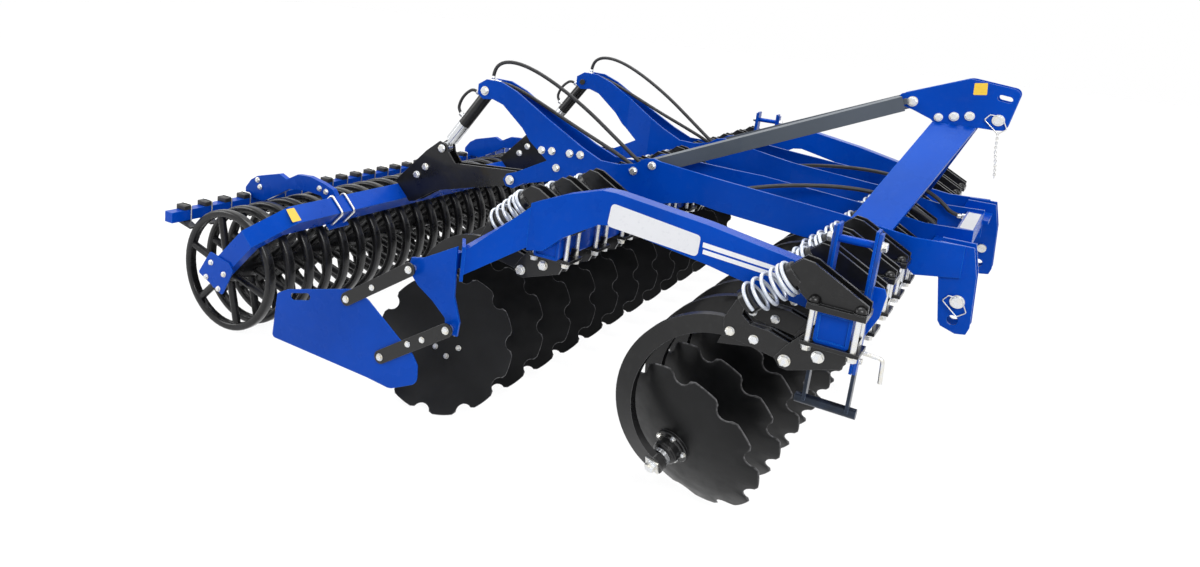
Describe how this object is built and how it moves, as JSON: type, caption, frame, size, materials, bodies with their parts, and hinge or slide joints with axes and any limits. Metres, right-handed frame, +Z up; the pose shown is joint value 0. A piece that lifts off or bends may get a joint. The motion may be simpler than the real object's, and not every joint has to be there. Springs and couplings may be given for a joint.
{
  "type": "mounted compact disc harrow",
  "caption": "Three-point mounted short disc harrow with two rows of sprung notched discs, a ring roller with scrapers on lift arms, a side deflector and parking stands.",
  "frame": {"origin": "floor point under the middle of the machine's box", "axes": "+X to the tractor, +Y to the machine's left, +Z up"},
  "size_m": [3.184, 3.1383, 1.4618],
  "materials": {
    "frame_blue": "gloss",
    "black_paint": "satin",
    "disc_steel": "satin",
    "zinc": "satin",
    "stay_grey": "satin"
  },
  "bodies": {
    "frame": {"front_beam": "frame_blue", "rear_beam": "frame_blue", "outer_plates": "frame_blue", "inner_plates": "frame_blue", "hitch_ears": "frame_blue", "hitch_pins": "zinc", "mast_plates": "frame_blue", "mast_legs": "frame_blue", "mast_stays": "stay_grey", "side_beams": "frame_blue", "front_arm_brackets": "black_paint", "rear_arm_brackets": "black_paint", "front_disc_arms": "black_paint", "rear_disc_arms": "black_paint", "arm_springs": "zinc", "deflector_arm": "frame_blue", "stand_guides": "frame_blue"},
    "roller_arms": {"roller_arms": "black_paint", "roller_frame_beam": "frame_blue", "scraper_carriers": "frame_blue", "scraper_beam": "frame_blue", "scrapers": "black_paint"},
    "roller": {"roller_rings": "black_paint", "roller_shaft": "black_paint"},
    "cylinder_barrel_left": {"cylinder_barrel_left": "black_paint"},
    "cylinder_rod_left": {"cylinder_rod_left": "zinc"},
    "cylinder_barrel_right": {"cylinder_barrel_right": "black_paint"},
    "cylinder_rod_right": {"cylinder_rod_right": "zinc"},
    "deflector_upper_link": {"deflector_upper_link": "black_paint"},
    "deflector_lower_link": {"deflector_lower_link": "black_paint"},
    "deflector_plate": {"deflector_plate": "frame_blue"},
    "stand_leg_front": {"stand_leg_front": "black_paint"},
    "stand_leg_rear": {"stand_leg_rear": "black_paint"},
    "front_disc_01": {"front_disc_01": "disc_steel"},
    "front_disc_02": {"front_disc_02": "disc_steel"},
    "front_disc_03": {"front_disc_03": "disc_steel"},
    "front_disc_04": {"front_disc_04": "disc_steel"},
    "front_disc_05": {"front_disc_05": "disc_steel"},
    "front_disc_06": {"front_disc_06": "disc_steel"},
    "front_disc_07": {"front_disc_07": "disc_steel"},
    "front_disc_08": {"front_disc_08": "disc_steel"},
    "front_disc_09": {"front_disc_09": "disc_steel"},
    "front_disc_10": {"front_disc_10": "disc_steel"},
    "front_disc_11": {"front_disc_11": "disc_steel"},
    "front_disc_12": {"front_disc_12": "disc_steel"},
    "rear_disc_01": {"rear_disc_01": "disc_steel"},
    "rear_disc_02": {"rear_disc_02": "disc_steel"},
    "rear_disc_03": {"rear_disc_03": "disc_steel"},
    "rear_disc_04": {"rear_disc_04": "disc_steel"},
    "rear_disc_05": {"rear_disc_05": "disc_steel"},
    "rear_disc_06": {"rear_disc_06": "disc_steel"},
    "rear_disc_07": {"rear_disc_07": "disc_steel"},
    "rear_disc_08": {"rear_disc_08": "disc_steel"},
    "rear_disc_09": {"rear_disc_09": "disc_steel"},
    "rear_disc_10": {"rear_disc_10": "disc_steel"},
    "rear_disc_11": {"rear_disc_11": "disc_steel"},
    "rear_disc_12": {"rear_disc_12": "disc_steel"}
  },
  "joints": [
    {"name": "roller_lift", "type": "hinge", "parent": "frame", "child": "roller_arms", "pos_m": [-0.3145, 0, 0.7756], "axis": [0, 1, 0], "range_deg": [-12, 0]},
    {"name": "roller_spin", "type": "hinge", "parent": "roller_arms", "child": "roller", "pos_m": [-1.235, 0, 0.28], "axis": [0, 1, 0], "continuous": true},
    {"name": "barrel_left", "type": "hinge", "parent": "frame", "child": "cylinder_barrel_left", "pos_m": [-0.501, 0.517, 1.168], "axis": [0, 1, 0], "range_deg": [-5.51, 0]},
    {"name": "rod_left", "type": "slide", "parent": "cylinder_barrel_left", "child": "cylinder_rod_left", "axis": [-0.5736, 0, -0.8191], "range_m": [0, 0.0774]},
    {"name": "barrel_right", "type": "hinge", "parent": "frame", "child": "cylinder_barrel_right", "pos_m": [-0.501, -0.517, 1.168], "axis": [0, 1, 0], "range_deg": [-5.51, 0]},
    {"name": "rod_right", "type": "slide", "parent": "cylinder_barrel_right", "child": "cylinder_rod_right", "axis": [-0.5736, 0, -0.8191], "range_m": [0, 0.0774]},
    {"name": "front_disc_01_spin", "type": "hinge", "parent": "frame", "child": "front_disc_01", "pos_m": [0.902, -1.384, 0.25739], "axis": [-0.2499, -0.8772, -0.4099], "continuous": true},
    {"name": "front_disc_02_spin", "type": "hinge", "parent": "frame", "child": "front_disc_02", "pos_m": [0.902, -1.134, 0.25739], "axis": [-0.2499, -0.8772, -0.4099], "continuous": true},
    {"name": "front_disc_03_spin", "type": "hinge", "parent": "frame", "child": "front_disc_03", "pos_m": [0.902, -0.884, 0.25739], "axis": [-0.2499, -0.8772, -0.4099], "continuous": true},
    {"name": "front_disc_04_spin", "type": "hinge", "parent": "frame", "child": "front_disc_04", "pos_m": [0.902, -0.634, 0.25739], "axis": [-0.2499, -0.8772, -0.4099], "continuous": true},
    {"name": "front_disc_05_spin", "type": "hinge", "parent": "frame", "child": "front_disc_05", "pos_m": [0.902, -0.384, 0.25739], "axis": [-0.2499, -0.8772, -0.4099], "continuous": true},
    {"name": "front_disc_06_spin", "type": "hinge", "parent": "frame", "child": "front_disc_06", "pos_m": [0.902, -0.134, 0.25739], "axis": [-0.2499, -0.8772, -0.4099], "continuous": true},
    {"name": "front_disc_07_spin", "type": "hinge", "parent": "frame", "child": "front_disc_07", "pos_m": [0.902, 0.116, 0.25739], "axis": [-0.2499, -0.8772, -0.4099], "continuous": true},
    {"name": "front_disc_08_spin", "type": "hinge", "parent": "frame", "child": "front_disc_08", "pos_m": [0.902, 0.366, 0.25739], "axis": [-0.2499, -0.8772, -0.4099], "continuous": true},
    {"name": "front_disc_09_spin", "type": "hinge", "parent": "frame", "child": "front_disc_09", "pos_m": [0.902, 0.616, 0.25739], "axis": [-0.2499, -0.8772, -0.4099], "continuous": true},
    {"name": "front_disc_10_spin", "type": "hinge", "parent": "frame", "child": "front_disc_10", "pos_m": [0.902, 0.866, 0.25739], "axis": [-0.2499, -0.8772, -0.4099], "continuous": true},
    {"name": "front_disc_11_spin", "type": "hinge", "parent": "frame", "child": "front_disc_11", "pos_m": [0.902, 1.116, 0.25739], "axis": [-0.2499, -0.8772, -0.4099], "continuous": true},
    {"name": "front_disc_12_spin", "type": "hinge", "parent": "frame", "child": "front_disc_12", "pos_m": [0.902, 1.366, 0.25739], "axis": [-0.2499, -0.8772, -0.4099], "continuous": true},
    {"name": "rear_disc_01_spin", "type": "hinge", "parent": "frame", "child": "rear_disc_01", "pos_m": [-0.098, -1.345, 0.25739], "axis": [-0.2499, 0.8772, -0.4099], "continuous": true},
    {"name": "rear_disc_02_spin", "type": "hinge", "parent": "frame", "child": "rear_disc_02", "pos_m": [-0.098, -1.095, 0.25739], "axis": [-0.2499, 0.8772, -0.4099], "continuous": true},
    {"name": "rear_disc_03_spin", "type": "hinge", "parent": "frame", "child": "rear_disc_03", "pos_m": [-0.098, -0.845, 0.25739], "axis": [-0.2499, 0.8772, -0.4099], "continuous": true},
    {"name": "rear_disc_04_spin", "type": "hinge", "parent": "frame", "child": "rear_disc_04", "pos_m": [-0.098, -0.595, 0.25739], "axis": [-0.2499, 0.8772, -0.4099], "continuous": true},
    {"name": "rear_disc_05_spin", "type": "hinge", "parent": "frame", "child": "rear_disc_05", "pos_m": [-0.098, -0.345, 0.25739], "axis": [-0.2499, 0.8772, -0.4099], "continuous": true},
    {"name": "rear_disc_06_spin", "type": "hinge", "parent": "frame", "child": "rear_disc_06", "pos_m": [-0.098, -0.095, 0.25739], "axis": [-0.2499, 0.8772, -0.4099], "continuous": true},
    {"name": "rear_disc_07_spin", "type": "hinge", "parent": "frame", "child": "rear_disc_07", "pos_m": [-0.098, 0.155, 0.25739], "axis": [-0.2499, 0.8772, -0.4099], "continuous": true},
    {"name": "rear_disc_08_spin", "type": "hinge", "parent": "frame", "child": "rear_disc_08", "pos_m": [-0.098, 0.405, 0.25739], "axis": [-0.2499, 0.8772, -0.4099], "continuous": true},
    {"name": "rear_disc_09_spin", "type": "hinge", "parent": "frame", "child": "rear_disc_09", "pos_m": [-0.098, 0.655, 0.25739], "axis": [-0.2499, 0.8772, -0.4099], "continuous": true},
    {"name": "rear_disc_10_spin", "type": "hinge", "parent": "frame", "child": "rear_disc_10", "pos_m": [-0.098, 0.905, 0.25739], "axis": [-0.2499, 0.8772, -0.4099], "continuous": true},
    {"name": "rear_disc_11_spin", "type": "hinge", "parent": "frame", "child": "rear_disc_11", "pos_m": [-0.098, 1.155, 0.25739], "axis": [-0.2499, 0.8772, -0.4099], "continuous": true},
    {"name": "rear_disc_12_spin", "type": "hinge", "parent": "frame", "child": "rear_disc_12", "pos_m": [-0.098, 1.405, 0.25739], "axis": [-0.2499, 0.8772, -0.4099], "continuous": true},
    {"name": "deflector_upper", "type": "hinge", "parent": "frame", "child": "deflector_upper_link", "pos_m": [-0.134, -1.551, 0.602], "axis": [0, 1, 0], "range_deg": [-10, 25]},
    {"name": "deflector_lower", "type": "hinge", "parent": "frame", "child": "deflector_lower_link", "pos_m": [0.053, -1.551, 0.419], "axis": [0, 1, 0], "range_deg": [-10, 25]},
    {"name": "deflector_plate", "type": "hinge", "parent": "deflector_upper_link", "child": "deflector_plate", "pos_m": [-0.421, -1.56, 0.405], "axis": [0, 1, 0], "range_deg": [-25, 10]},
    {"name": "stand_front", "type": "slide", "parent": "frame", "child": "stand_leg_front", "axis": [0, 0, 1], "range_m": [-0.43, 0]},
    {"name": "stand_rear", "type": "slide", "parent": "frame", "child": "stand_leg_rear", "axis": [0, 0, 1], "range_m": [-0.43, 0]}
  ],
  "couplings": [
    {"joint": "barrel_left", "follows": "roller_lift", "ratio": 0.45496},
    {"joint": "rod_left", "follows": "roller_lift", "m_per_rad": -0.36714},
    {"joint": "barrel_right", "follows": "roller_lift", "ratio": 0.45496},
    {"joint": "rod_right", "follows": "roller_lift", "m_per_rad": -0.36714},
    {"joint": "deflector_lower", "follows": "deflector_upper", "ratio": 1},
    {"joint": "deflector_plate", "follows": "deflector_upper", "ratio": -1}
  ]
}
